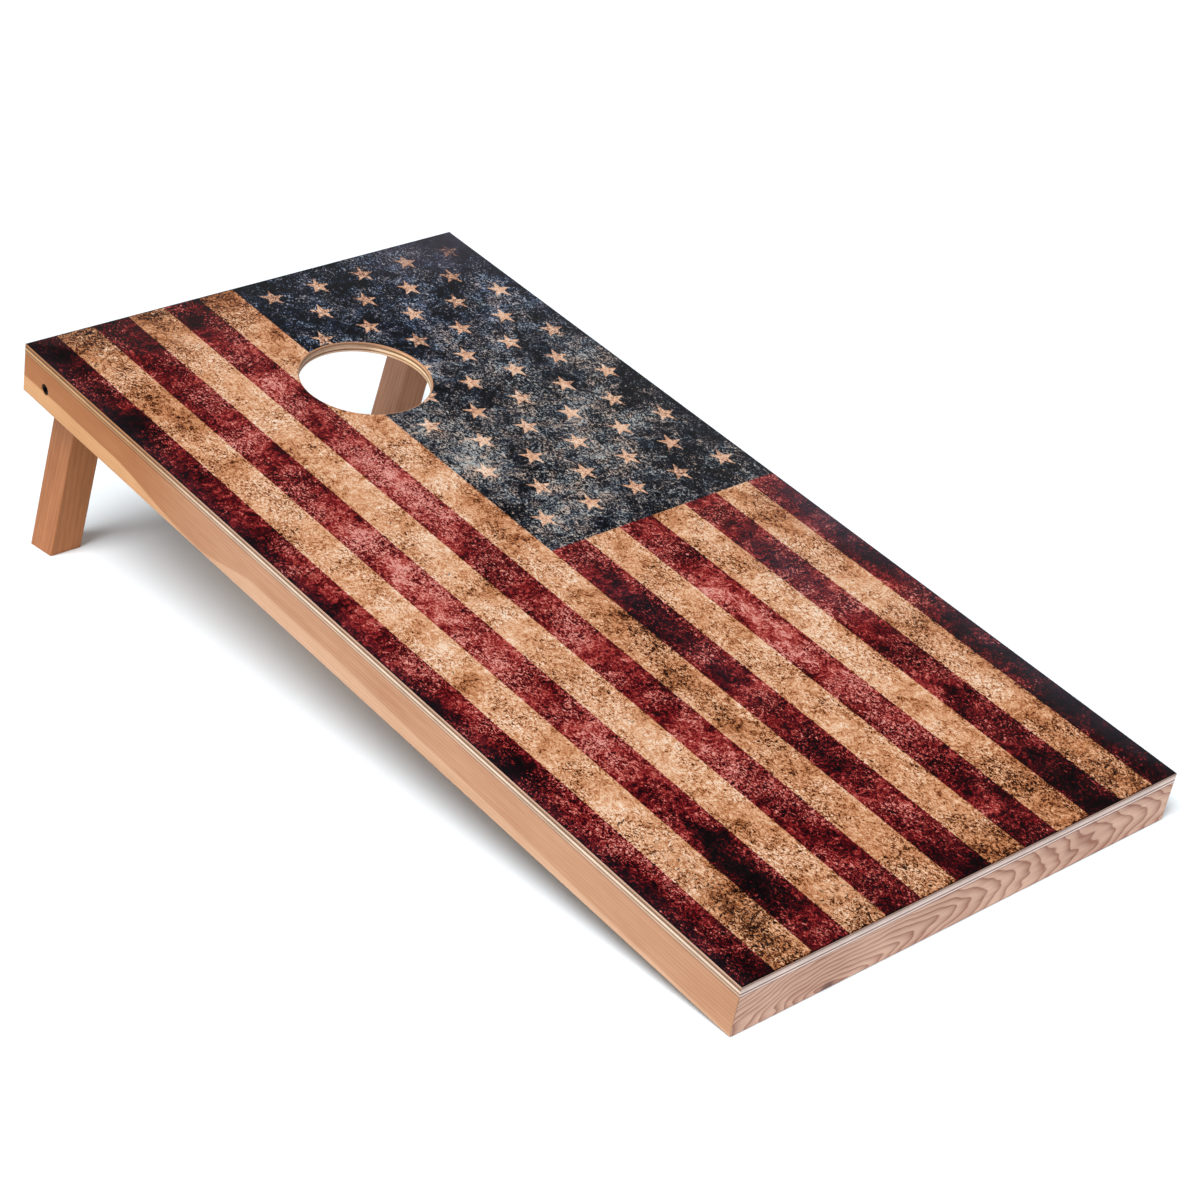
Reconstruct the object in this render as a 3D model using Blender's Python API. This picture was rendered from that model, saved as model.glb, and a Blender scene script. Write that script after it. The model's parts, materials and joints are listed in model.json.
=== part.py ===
"""Cornhole board: a printed plywood deck on a mitred frame, standing on two rear legs that fold away.

Units are metres. +Z is up and +Y runs along the board, from its low front edge to the raised end with
the bag hole. The board stands on z = 0, on its front edge and two feet, with the origin in the middle
of its footprint.

The fixed pieces are drawn in the board's own frame: x across, y from the front edge to the rear edge,
and z up from the frame's lower edge. The empty "board" tilts that frame about the front lower edge.
Each leg hangs from its own empty, which lies on the pivot axis and turns about x.
"""

import math

import bmesh
import bpy
from mathutils import Matrix, Vector

# Board
BOARD_WIDTH = 0.6096
BOARD_LENGTH = 1.2192
BOARD_HEIGHT = 0.062
TILT = math.radians(11.0)
DECK_THICKNESS = 0.012
DECK_EASE = 0.0008
HOLE_RADIUS = 0.0762
HOLE_ROUND_OVER = 0.002
HOLE_FROM_REAR = 0.232
HOLE_OFFSET = 0.003
GAP = 0.0003  # left between pieces that touch

# Frame
RAIL_THICKNESS = 0.018
RAIL_HEIGHT = BOARD_HEIGHT - DECK_THICKNESS - GAP
RAIL_EASE = 0.001
MITRE_GAP = GAP / math.sqrt(2)
BRACE_HEIGHT = 0.040
CORNER_BLOCK_SIZE = 0.022
CORNER_BLOCK_HEIGHT = 0.042
PIVOT_BLOCK_THICKNESS = 0.0147
PIVOT_BLOCK_LENGTH = 0.090
PIVOT_BLOCK_HEIGHT = 0.046

# Legs and their pivots
LEG_SIZE = 0.042
LEG_EASE = 0.0015
PIVOT_FROM_REAR = 0.044
PIVOT_HEIGHT = RAIL_HEIGHT / 2
BOLT_RADIUS = 0.004
BOLT_LENGTH = 0.080
BOLT_HEAD_RADIUS = 0.0065
BOLT_HEAD_HEIGHT = 0.008
BOLT_HEAD_DEPTH = 0.001
HEX_KEY_APOTHEM = 0.003
HEX_KEY_DEPTH = 0.004
COUNTERBORE_RADIUS = 0.007
WASHER_RADIUS = 0.008
WASHER_THICKNESS = 0.0016
NUT_APOTHEM = 0.0065
NUT_HEIGHT = 0.008
NUT_COLLAR_RADIUS = 0.0058

# Screws
SCREW_RADIUS = 0.002
SCREW_TIP = 0.004
SCREW_HEAD_RADIUS = 0.004
SCREW_HEAD_HEIGHT = 0.0025
SQUARE_KEY_APOTHEM = 0.0014
SQUARE_KEY_DEPTH = 0.0017
POCKET_RADIUS = 0.0045
POCKET_ANGLE = math.radians(15)
POCKET_SHOULDER = 0.012  # from the rail's top edge to the screw head, along the screw
POCKET_FROM_OUTSIDE = 0.0105
POCKET_SCREW_LENGTH = 0.022
BLOCK_SCREW_LENGTH = 0.026

# Fineness of round shapes
HOLE_SEGMENTS = 96
ARC_SEGMENTS = 24
SCREW_SEGMENTS = 16
ROUND_OVER_STEPS = 4

SIDES = {"left": -1, "right": 1}
HALF_WIDTH = BOARD_WIDTH / 2
INSIDE_X = HALF_WIDTH - RAIL_THICKNESS
PIVOT_Y = BOARD_LENGTH - PIVOT_FROM_REAR
BLOCK_FACE_X = INSIDE_X - GAP - PIVOT_BLOCK_THICKNESS
OUTER_WASHER_X = BLOCK_FACE_X - GAP - WASHER_THICKNESS
LEG_X = OUTER_WASHER_X - GAP - LEG_SIZE / 2
INNER_WASHER_X = LEG_X - LEG_SIZE / 2 - GAP - WASHER_THICKNESS
NUT_X = INNER_WASHER_X - GAP - NUT_HEIGHT


def splay_angle():
    """How far a leg leans back from square to the deck when its rear face meets the rear rail's lower edge."""
    back = PIVOT_FROM_REAR - RAIL_THICKNESS
    down = PIVOT_HEIGHT
    return math.acos((LEG_SIZE / 2 + GAP) / math.hypot(back, down)) - math.atan2(down, back)


SPLAY = splay_angle()
LEAN = TILT + SPLAY  # of a leg from the vertical
PIVOT_ABOVE_GROUND = PIVOT_Y * math.sin(TILT) + PIVOT_HEIGHT * math.cos(TILT)


def foot_depth(across):
    """Depth of the foot below the pivot, along the leg, at this distance behind the leg's centre line."""
    return (PIVOT_ABOVE_GROUND + across * math.sin(LEAN)) / math.cos(LEAN)


def footprint_centre():
    """The middle of the standing board's length, measured from its front lower edge."""
    front = -(BOARD_HEIGHT - DECK_EASE) * math.sin(TILT)
    pivot = PIVOT_Y * math.cos(TILT) - PIVOT_HEIGHT * math.sin(TILT)
    heel = LEG_SIZE / 2
    rear = pivot + heel * math.cos(LEAN) + foot_depth(heel) * math.sin(LEAN)
    return (front + rear) / 2


# Scene and objects


def clear_scene():
    for item in list(bpy.data.objects):
        bpy.data.objects.remove(item, do_unlink=True)


def make_material(name, colour, roughness, metallic=0.0):
    material = bpy.data.materials.new(name)
    material.use_nodes = True
    shader = material.node_tree.nodes["Principled BSDF"]
    shader.inputs["Base Color"].default_value = (*colour, 1.0)
    shader.inputs["Roughness"].default_value = roughness
    shader.inputs["Metallic"].default_value = metallic
    material.diffuse_color = (*colour, 1.0)
    return material


def make_empty(name, parent=None, location=(0, 0, 0), turn=0.0):
    empty = bpy.data.objects.new(name, None)
    bpy.context.scene.collection.objects.link(empty)
    empty.parent = parent
    empty.location = location
    empty.rotation_euler.x = turn
    return empty


def make_piece(name, mesh, parent, material, matrix=None):
    piece = bpy.data.objects.new(name, mesh)
    bpy.context.scene.collection.objects.link(piece)
    piece.parent = parent
    piece.matrix_local = matrix or Matrix()
    if not mesh.materials:
        mesh.materials.append(material)
    return piece


def pointing(place, direction):
    """A matrix that puts an object's origin at a place and turns its +Z to a direction."""
    turn = Vector(direction).to_track_quat("Z", "Y").to_matrix().to_4x4()
    return Matrix.Translation(place) @ turn


def cut(piece, cutter):
    boolean = piece.modifiers.new("cut", "BOOLEAN")
    boolean.operation = "DIFFERENCE"
    boolean.solver = "EXACT"
    boolean.object = cutter


def make_cutter(name, mesh, parent, matrix):
    cutter = bpy.data.objects.new(name, mesh)
    bpy.context.scene.collection.objects.link(cutter)
    cutter.parent = parent
    cutter.matrix_local = matrix
    cutter.hide_render = True
    cutter.display_type = "WIRE"
    return cutter


# Meshes


def finished(shape, name, smooth_below=None):
    """The bmesh as a mesh, with round surfaces shaded smooth below an angle."""
    bmesh.ops.recalc_face_normals(shape, faces=shape.faces)
    mesh = bpy.data.meshes.new(name)
    shape.to_mesh(mesh)
    shape.free()
    if smooth_below:
        mesh.shade_smooth()
        mesh.set_sharp_from_angle(angle=math.radians(smooth_below))
    return mesh


def swept_shape(outline, sweep):
    """A solid with a flat outline, swept along a vector."""
    shape = bmesh.new()
    face = shape.faces.new([shape.verts.new(point) for point in outline])
    made = bmesh.ops.extrude_face_region(shape, geom=[face])["geom"]
    bmesh.ops.translate(shape, verts=[v for v in made if isinstance(v, bmesh.types.BMVert)], vec=sweep)
    bmesh.ops.recalc_face_normals(shape, faces=shape.faces)
    return shape


def ease_edges(shape, chosen, width, segments):
    edges = [edge for edge in shape.edges if chosen(edge)]
    bmesh.ops.bevel(shape, geom=edges, offset=width, segments=segments, profile=0.5, affect="EDGES")


def plan_mesh(name, outline, bottom, top, ease=0.0):
    """A piece drawn in plan, as (x, y) points, between two heights. Its long lower edges can be eased."""
    shape = swept_shape([(x, y, bottom) for x, y in outline], (0, 0, top - bottom))
    if ease:
        ease_edges(
            shape,
            lambda edge: max(v.co.z for v in edge.verts) < bottom + GAP and edge.calc_length() > 0.1,
            ease,
            2,
        )
    return finished(shape, name)


def rectangle(x_low, x_high, y_low, y_high):
    return [(x_low, y_low), (x_high, y_low), (x_high, y_high), (x_low, y_high)]


def round_outline(angle):
    return 1.0


def flat_sided_outline(sides):
    """Distance from the centre to a polygon whose sides are one unit away, with a corner at angle 0."""
    step = 2 * math.pi / sides
    return lambda angle: 1 / math.cos(angle % step - step / 2)


def ring_points(shape, outline, size, height, segments):
    if size == 0:
        return [shape.verts.new((0, 0, height))] * segments
    points = []
    for index in range(segments):
        angle = 2 * math.pi * index / segments
        radius = size * outline(angle)
        points.append(shape.verts.new((radius * math.cos(angle), radius * math.sin(angle), height)))
    return points


def lofted_mesh(name, sections, segments, closed=False):
    """A solid about the z axis, through sections of (outline, size, height). Closed makes a hollow ring."""
    shape = bmesh.new()
    rings = [ring_points(shape, *section, segments) for section in sections]
    if closed:
        rings.append(rings[0])
    for lower, upper in zip(rings, rings[1:]):
        for index in range(segments):
            after = (index + 1) % segments
            corners = dict.fromkeys([lower[index], lower[after], upper[after], upper[index]])
            shape.faces.new(list(corners))
    return finished(shape, name, smooth_below=40)


def round_sections(profile):
    return [(round_outline, radius, height) for radius, height in profile]


def screw_mesh(name, length, countersunk):
    """A wood screw with a square drive. Its head's seat is at the origin and its tip points to +Z."""
    seat = -GAP
    square = flat_sided_outline(4)
    back = seat - SCREW_HEAD_HEIGHT
    rim = seat - SCREW_HEAD_HEIGHT * (0.8 if countersunk else 0.0)
    sections = round_sections(
        [
            (0, length),
            (SCREW_RADIUS, length - SCREW_TIP),
            (SCREW_RADIUS, seat),
            (SCREW_HEAD_RADIUS, rim),
            (SCREW_HEAD_RADIUS, back),
        ]
    )
    sections.append((square, SQUARE_KEY_APOTHEM, back))
    sections.append((square, SQUARE_KEY_APOTHEM, back + SQUARE_KEY_DEPTH))
    sections.append((round_outline, 0, back + SQUARE_KEY_DEPTH))
    return lofted_mesh(name, sections, SCREW_SEGMENTS)


def screw_hole_mesh(name, length, countersunk):
    """What a screw needs cut away: its head's way in, the seat and the hole for its shank."""
    mouth = -0.06
    head = SCREW_HEAD_RADIUS + GAP if countersunk else POCKET_RADIUS
    seat = -SCREW_HEAD_HEIGHT * 0.8 if countersunk else 0.0
    shank = SCREW_RADIUS + GAP
    profile = [(0, mouth), (head, mouth), (head, seat), (shank, 0), (shank, length + GAP), (0, length + GAP)]
    return lofted_mesh(name, round_sections(profile), SCREW_SEGMENTS)


# Deck


def add_deck(board, material):
    """The plywood deck, with its bag hole rounded over at the top."""
    half_length = BOARD_LENGTH / 2
    bottom = BOARD_HEIGHT - DECK_THICKNESS
    outline = rectangle(-HALF_WIDTH, HALF_WIDTH, -half_length, half_length)
    shape = swept_shape([(x, y + half_length, bottom) for x, y in outline], (0, 0, DECK_THICKNESS))
    ease_edges(shape, lambda edge: min(v.co.z for v in edge.verts) > bottom + GAP, DECK_EASE, 2)
    deck = make_piece("deck", finished(shape, "deck"), board, material)
    centre = (HOLE_OFFSET, BOARD_LENGTH - HOLE_FROM_REAR, 0)
    profile = [(0, bottom - 0.01), (HOLE_RADIUS, bottom - 0.01)]
    for step in range(ROUND_OVER_STEPS + 1):
        angle = math.pi / 2 * step / ROUND_OVER_STEPS
        radius = HOLE_RADIUS + HOLE_ROUND_OVER * (1 - math.cos(angle))
        profile.append((radius, BOARD_HEIGHT - HOLE_ROUND_OVER * (1 - math.sin(angle))))
    profile.append((HOLE_RADIUS + HOLE_ROUND_OVER, BOARD_HEIGHT + 0.01))
    profile.append((0, BOARD_HEIGHT + 0.01))
    mesh = lofted_mesh("bag_hole_cutter", round_sections(profile), HOLE_SEGMENTS)
    cut(deck, make_cutter("bag_hole_cutter", mesh, board, Matrix.Translation(centre)))
    return deck


# Frame


def add_side_rail(name, side, board, material):
    outer = side * HALF_WIDTH
    inner = side * INSIDE_X
    outline = [
        (outer, MITRE_GAP),
        (outer, BOARD_LENGTH - MITRE_GAP),
        (inner, BOARD_LENGTH - RAIL_THICKNESS - MITRE_GAP),
        (inner, RAIL_THICKNESS + MITRE_GAP),
    ]
    return make_piece(name, plan_mesh(name, outline, 0, RAIL_HEIGHT, RAIL_EASE), board, material)


def add_end_rail(name, outer_y, inward, board, material):
    """The front or rear rail. Inward is +1 where the frame's inside lies towards +Y, or -1."""
    outer = HALF_WIDTH - MITRE_GAP
    inner = INSIDE_X - MITRE_GAP
    inner_y = outer_y + inward * RAIL_THICKNESS
    outline = [(-outer, outer_y), (outer, outer_y), (inner, inner_y), (-inner, inner_y)]
    return make_piece(name, plan_mesh(name, outline, 0, RAIL_HEIGHT, RAIL_EASE), board, material)


def add_brace(board, material):
    """The cross brace that stiffens the deck half way along."""
    reach = INSIDE_X - GAP
    middle = BOARD_LENGTH / 2
    outline = rectangle(-reach, reach, middle - RAIL_THICKNESS / 2, middle + RAIL_THICKNESS / 2)
    mesh = plan_mesh("cross_brace", outline, RAIL_HEIGHT - BRACE_HEIGHT, RAIL_HEIGHT, RAIL_EASE)
    return make_piece("cross_brace", mesh, board, material)


def add_corner_block(name, side, board, material):
    """The glue block inside a front corner."""
    outer = side * (INSIDE_X - GAP)
    inner = outer - side * CORNER_BLOCK_SIZE
    front = RAIL_THICKNESS + GAP
    outline = rectangle(outer, inner, front, front + CORNER_BLOCK_SIZE)
    mesh = plan_mesh(name, outline, RAIL_HEIGHT - CORNER_BLOCK_HEIGHT, RAIL_HEIGHT)
    return make_piece(name, mesh, board, material)


def add_pivot_block(name, side, board, material):
    """The block that holds a leg clear of the side rail and closes the rear corner."""
    rear = BOARD_LENGTH - RAIL_THICKNESS - GAP
    outline = rectangle(side * (INSIDE_X - GAP), side * BLOCK_FACE_X, rear - PIVOT_BLOCK_LENGTH, rear)
    mesh = plan_mesh(name, outline, RAIL_HEIGHT - PIVOT_BLOCK_HEIGHT, RAIL_HEIGHT)
    return make_piece(name, mesh, board, material)


# Screws


def drive_screw(name, screw, hole, place, direction, pieces, board, material):
    """A screw along a direction, with its hole cut through every piece that it passes."""
    matrix = pointing(place, direction)
    make_piece(name, screw, board, material, matrix)
    cutter = make_cutter(name + "_cutter", hole, board, matrix)
    for piece in pieces:
        cut(piece, cutter)


def pocket_screw_place(face_point, outward):
    """Seat and direction of a pocket screw that rises from the inside of a rail into the deck.

    face_point is on the rail's outer face at the height of its top edge, and outward points out of that face.
    """
    outward = Vector(outward)
    direction = outward * math.sin(POCKET_ANGLE) + Vector((0, 0, math.cos(POCKET_ANGLE)))
    exit_point = Vector(face_point) - outward * POCKET_FROM_OUTSIDE
    return exit_point - direction * POCKET_SHOULDER, direction


def add_pocket_screws(rails, deck, board, material):
    screw = screw_mesh("pocket_screw", POCKET_SCREW_LENGTH, countersunk=False)
    hole = screw_hole_mesh("pocket", POCKET_SCREW_LENGTH, countersunk=False)
    places = []
    for side_name, side in SIDES.items():
        for number, share in enumerate((0.12, 0.38, 0.75), start=1):
            point = (side * HALF_WIDTH, share * BOARD_LENGTH, RAIL_HEIGHT)
            places.append((f"{side_name}_rail", f"{side_name}_rail_screw_{number}", point, (side, 0, 0)))
    for number, share in enumerate((-0.25, 0.25), start=1):
        x = share * BOARD_WIDTH
        brace_face = BOARD_LENGTH / 2 - RAIL_THICKNESS / 2
        places.append(("front_rail", f"front_rail_screw_{number}", (x, 0, RAIL_HEIGHT), (0, -1, 0)))
        places.append(("rear_rail", f"rear_rail_screw_{number}", (x, BOARD_LENGTH, RAIL_HEIGHT), (0, 1, 0)))
        places.append(("cross_brace", f"brace_screw_{number}", (x, brace_face, RAIL_HEIGHT), (0, -1, 0)))
    for rail, name, point, outward in places:
        place, direction = pocket_screw_place(point, outward)
        drive_screw(name, screw, hole, place, direction, (rails[rail], deck), board, material)


def add_block_screws(side_name, side, pivot_block, corner_block, rails, board, material):
    """The countersunk screws that hold the pivot block and the corner block to the rails."""
    screw = screw_mesh("block_screw", BLOCK_SCREW_LENGTH, countersunk=True)
    hole = screw_hole_mesh("block_screw_hole", BLOCK_SCREW_LENGTH, countersunk=True)
    side_rail = rails[f"{side_name}_rail"]
    block_front = BOARD_LENGTH - RAIL_THICKNESS - PIVOT_BLOCK_LENGTH
    seat_x = side * (BLOCK_FACE_X + SCREW_HEAD_HEIGHT + GAP)
    for number, height in enumerate((0.015, 0.037), start=1):
        drive_screw(
            f"{side_name}_block_screw_{number}",
            screw,
            hole,
            (seat_x, block_front + 0.016, height),
            (side, 0, 0),
            (pivot_block, side_rail),
            board,
            material,
        )
    middle = RAIL_THICKNESS + GAP + CORNER_BLOCK_SIZE / 2
    seat_x = side * (INSIDE_X - GAP - CORNER_BLOCK_SIZE + SCREW_HEAD_HEIGHT + GAP)
    drive_screw(
        f"{side_name}_corner_screw",
        screw,
        hole,
        (seat_x, middle, RAIL_HEIGHT - CORNER_BLOCK_HEIGHT / 2),
        (side, 0, 0),
        (corner_block, side_rail),
        board,
        material,
    )


# Legs


def leg_mesh(name):
    """A square leg about its pivot: a half round top, and a foot cut level with the ground."""
    half = LEG_SIZE / 2
    outline = []
    for step in range(ARC_SEGMENTS + 1):
        angle = math.pi * step / ARC_SEGMENTS
        outline.append((-half, half * math.cos(angle), half * math.sin(angle)))
    outline.append((-half, -half, -foot_depth(-half)))
    outline.append((-half, half, -foot_depth(half)))
    shape = swept_shape(outline, (LEG_SIZE, 0, 0))
    above_foot = -foot_depth(-half) + GAP

    def is_long_edge(edge):
        first, second = edge.verts
        in_one_face = abs(first.co.x - second.co.x) < GAP
        return in_one_face and max(first.co.z, second.co.z) > above_foot

    ease_edges(shape, is_long_edge, LEG_EASE, 2)
    return finished(shape, name, smooth_below=40)


def add_leg(side_name, side, board, material):
    name = f"{side_name}_leg"
    pivot = make_empty(f"{name}_pivot", board, (side * LEG_X, PIVOT_Y, PIVOT_HEIGHT), SPLAY)
    leg = make_piece(name, leg_mesh(name), pivot, material)
    radius = BOLT_RADIUS + GAP
    profile = [(0, -LEG_SIZE), (radius, -LEG_SIZE), (radius, LEG_SIZE), (0, LEG_SIZE)]
    hole = lofted_mesh(f"{name}_bolt_hole", round_sections(profile), ARC_SEGMENTS)
    cut(leg, make_cutter(f"{name}_bolt_hole", hole, pivot, pointing((0, 0, 0), (1, 0, 0))))


def bolt_mesh(name):
    """A socket head cap screw. Its head's seat is at the origin and its shank runs to +Z."""
    hexagon = flat_sided_outline(6)
    chamfer = 0.0006
    back = -GAP - BOLT_HEAD_HEIGHT
    profile = [
        (0, BOLT_LENGTH),
        (BOLT_RADIUS - chamfer, BOLT_LENGTH),
        (BOLT_RADIUS, BOLT_LENGTH - chamfer),
        (BOLT_RADIUS, -GAP),
        (BOLT_HEAD_RADIUS, -GAP),
        (BOLT_HEAD_RADIUS, back + chamfer),
        (BOLT_HEAD_RADIUS - chamfer, back),
    ]
    sections = round_sections(profile)
    sections.append((hexagon, HEX_KEY_APOTHEM, back))
    sections.append((hexagon, HEX_KEY_APOTHEM, back + HEX_KEY_DEPTH))
    sections.append((round_outline, 0, back + HEX_KEY_DEPTH + 0.001))
    return lofted_mesh(name, sections, ARC_SEGMENTS)


def washer_mesh(name):
    hole = BOLT_RADIUS + GAP
    profile = [(WASHER_RADIUS, 0), (WASHER_RADIUS, WASHER_THICKNESS), (hole, WASHER_THICKNESS), (hole, 0)]
    return lofted_mesh(name, round_sections(profile), ARC_SEGMENTS, closed=True)


def lock_nut_mesh(name):
    """A hexagon lock nut from its seat at z = 0 up to its round collar."""
    hexagon = flat_sided_outline(6)
    hole = BOLT_RADIUS + GAP
    shoulder = NUT_HEIGHT * 0.75
    sections = [
        (round_outline, hole, 0),
        (hexagon, NUT_APOTHEM, 0),
        (hexagon, NUT_APOTHEM, shoulder),
        (round_outline, NUT_COLLAR_RADIUS, shoulder + 0.0005),
        (round_outline, NUT_COLLAR_RADIUS, NUT_HEIGHT),
        (round_outline, hole, NUT_HEIGHT),
    ]
    return lofted_mesh(name, sections, ARC_SEGMENTS, closed=True)


def add_pivot_hardware(side_name, side, pieces, board, materials):
    """The bolt through the rail, block and leg, with its two washers and lock nut."""

    def at(x):
        return (side * x, PIVOT_Y, PIVOT_HEIGHT)

    inward = (-side, 0, 0)
    seat = HALF_WIDTH - BOLT_HEAD_DEPTH - BOLT_HEAD_HEIGHT - GAP
    name = f"{side_name}_pivot_bolt"
    make_piece(name, bolt_mesh(name), board, materials["bolt"], pointing(at(seat), inward))
    shank = BOLT_RADIUS + GAP
    profile = [(0, -0.02), (COUNTERBORE_RADIUS, -0.02), (COUNTERBORE_RADIUS, 0), (shank, 0)]
    profile += [(shank, BOLT_LENGTH), (0, BOLT_LENGTH)]
    mesh = lofted_mesh(name + "_hole", round_sections(profile), ARC_SEGMENTS)
    cutter = make_cutter(name + "_hole", mesh, board, pointing(at(seat), inward))
    for piece in pieces:
        cut(piece, cutter)
    steel = materials["steel"]
    for place, x in (("outer", OUTER_WASHER_X), ("inner", INNER_WASHER_X)):
        name = f"{side_name}_{place}_washer"
        make_piece(name, washer_mesh(name), board, steel, pointing(at(x + WASHER_THICKNESS), inward))
    name = f"{side_name}_lock_nut"
    make_piece(name, lock_nut_mesh(name), board, steel, pointing(at(NUT_X + NUT_HEIGHT), inward))


def main():
    clear_scene()
    materials = {
        "print": make_material("printed_plywood", (0.30, 0.13, 0.09), 0.45),
        "side": make_material("side_rail_wood", (0.60, 0.30, 0.16), 0.55),
        "end": make_material("end_rail_wood", (0.53, 0.32, 0.24), 0.55),
        "block": make_material("block_wood", (0.62, 0.42, 0.26), 0.6),
        "leg": make_material("leg_wood", (0.50, 0.22, 0.11), 0.5),
        "bolt": make_material("black_oxide_steel", (0.02, 0.02, 0.02), 0.45, 0.8),
        "steel": make_material("zinc_plated_steel", (0.55, 0.55, 0.53), 0.35, 1.0),
    }
    board = make_empty("board", location=(0, -footprint_centre(), 0), turn=TILT)
    deck = add_deck(board, materials["print"])
    rails = {
        "left_rail": add_side_rail("left_rail", SIDES["left"], board, materials["side"]),
        "right_rail": add_side_rail("right_rail", SIDES["right"], board, materials["side"]),
        "front_rail": add_end_rail("front_rail", 0, 1, board, materials["end"]),
        "rear_rail": add_end_rail("rear_rail", BOARD_LENGTH, -1, board, materials["end"]),
        "cross_brace": add_brace(board, materials["end"]),
    }
    add_pocket_screws(rails, deck, board, materials["steel"])
    for side_name, side in SIDES.items():
        corner_block = add_corner_block(f"{side_name}_corner_block", side, board, materials["block"])
        pivot_block = add_pivot_block(f"{side_name}_pivot_block", side, board, materials["block"])
        add_block_screws(side_name, side, pivot_block, corner_block, rails, board, materials["steel"])
        add_leg(side_name, side, board, materials["leg"])
        pieces = (rails[f"{side_name}_rail"], pivot_block)
        add_pivot_hardware(side_name, side, pieces, board, materials)


main()
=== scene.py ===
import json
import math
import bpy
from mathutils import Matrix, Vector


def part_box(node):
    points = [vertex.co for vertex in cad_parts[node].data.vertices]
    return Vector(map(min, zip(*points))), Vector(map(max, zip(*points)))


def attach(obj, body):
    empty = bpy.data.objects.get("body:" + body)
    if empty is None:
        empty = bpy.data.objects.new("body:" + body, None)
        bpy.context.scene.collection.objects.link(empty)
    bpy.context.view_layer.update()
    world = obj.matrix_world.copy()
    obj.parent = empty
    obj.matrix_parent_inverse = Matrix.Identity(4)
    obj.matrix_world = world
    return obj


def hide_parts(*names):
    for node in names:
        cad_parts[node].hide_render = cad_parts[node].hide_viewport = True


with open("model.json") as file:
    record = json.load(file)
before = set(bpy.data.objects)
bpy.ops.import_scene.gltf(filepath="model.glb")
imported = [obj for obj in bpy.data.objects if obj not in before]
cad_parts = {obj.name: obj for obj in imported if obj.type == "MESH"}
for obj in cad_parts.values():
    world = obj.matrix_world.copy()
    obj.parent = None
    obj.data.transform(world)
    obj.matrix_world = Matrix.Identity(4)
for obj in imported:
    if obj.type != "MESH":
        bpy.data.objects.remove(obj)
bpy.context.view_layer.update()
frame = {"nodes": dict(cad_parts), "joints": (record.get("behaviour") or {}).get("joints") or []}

# Cornhole board: the looks of the printed plywood deck, the wooden frame and legs, and their hardware.
# Units are metres. In the board's own frame x runs across it, y from its front edge to its raised rear edge
# and z up from the frame's lower edge. The record's leg hinge says where that frame stands.

from types import SimpleNamespace

import bmesh
import bpy
from mathutils import Matrix, Vector

# The CAD's driving dimensions, which the visual deck follows
BOARD_LENGTH = 1.2192
BOARD_HEIGHT = 0.062
TILT = math.radians(11.0)
LEAN = math.radians(20.98)  # of a leg from the vertical
PIVOT_IN_BOARD = Vector((0, 1.1752, 0.02485))
HOLE_CENTRE = Vector((0.003, BOARD_LENGTH - 0.232))
HOLE_RADIUS = 0.0762
HALF_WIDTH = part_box("deck")[1].x
RAIL_TOP = 0.0497

# The visual deck's shape
HOLE_ROUND_OVER = 0.002
ROUND_OVER_STEPS = 5
HOLE_SEGMENTS = 128
DECK_EASE = 0.0009
EASE_STEPS = 6
SHARP_ANGLE = math.radians(35)
PRINT_THICKNESS = 0.0002
PLY_GAP = 0.00002

# Plies from the top: thickness, whether the grain runs along the board, and the colours of the edges beside
# the grain and across it
PLIES = (
    (0.0023, True, (212, 168, 142), (160, 130, 116)),
    (0.0025, False, (224, 200, 190), (142, 108, 80)),
    (0.0031, True, (250, 222, 196), (248, 224, 214)),
    (0.0017, False, (152, 122, 110), (176, 142, 116)),
    (0.0022, True, (226, 188, 160), (255, 230, 220)),
)

# Noises are given as scale in cycles per metre, detail, roughness and distortion. Where that scale is 1, the
# noise is drawn out and its scale along each axis stands beside it.

# Plywood noises and looks
PLY_FIBRE = (1.0, 3.0, 0.7)
PLY_FIBRE_ACROSS, PLY_FIBRE_ALONG = 700.0, 9.0
PLY_FIGURE = (1.0, 5.0, 0.75, 0.4)
PLY_FIGURE_ACROSS, PLY_FIGURE_ALONG = 34.0, 2.2
PLY_PORES = (1300.0, 2.0, 0.6)
PLY_BLOTCH = (22.0, 4.0, 0.7)
GLUE_TOP, GLUE_BOTTOM = 0.00045, 0.0001  # above a ply's lower face
GLUE_DARKNESS = 0.55
HOLE_PAINTED_SHADE_AND_LIGHT = ((0.82, 0.67, 0.50, 1.0), (1.28, 1.20, 0.98, 1.0))  # painted shade where the hole's wall faces along the board, painted light where it faces its sides
UNDERSIDE_TINT = (0.96, 0.84, 0.66, 1.0)
OUTER_BAND = (0.03, 0.005)  # from the side, where the hole's painted shade and light and the underside's tint give way
PLY_ROUGHNESS = (0.5, 0.62)
PLY_SPECULAR = 0.2

# Print
STRIPE_PITCH = 0.0481
STRIPE_COUNT = 13
STRIPE_SOFTNESS = 0.02  # share of a stripe's half wave
PRINT_DRIFT = 0.002  # how far the stripes have moved to the right at the front edge
PRINT_EDGE = 0.0003  # half the width of a soft edge
CANTON_LEFT = -STRIPE_PITCH / 2
CANTON_FRONT = BOARD_LENGTH - 0.6048
STARS_IN_ROW = 5  # and one less in every other row
STAR_PITCH = 0.0660
STAR_PITCH_CHANGE = -0.0012  # in the shorter rows
STAR_FIRST_COLUMN = 0.3133 - HALF_WIDTH
STAR_INDENT = 0.035  # of the shorter rows
STAR_ROWS = 11
STAR_ROW_PITCH = 0.0515
STAR_FIRST_ROW = BOARD_LENGTH - 0.0389
STAR_RADIUS = 0.0150
STAR_STRETCH = 1.22  # along the board
STAR_WAIST = 0.382  # inner radius over outer radius

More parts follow.
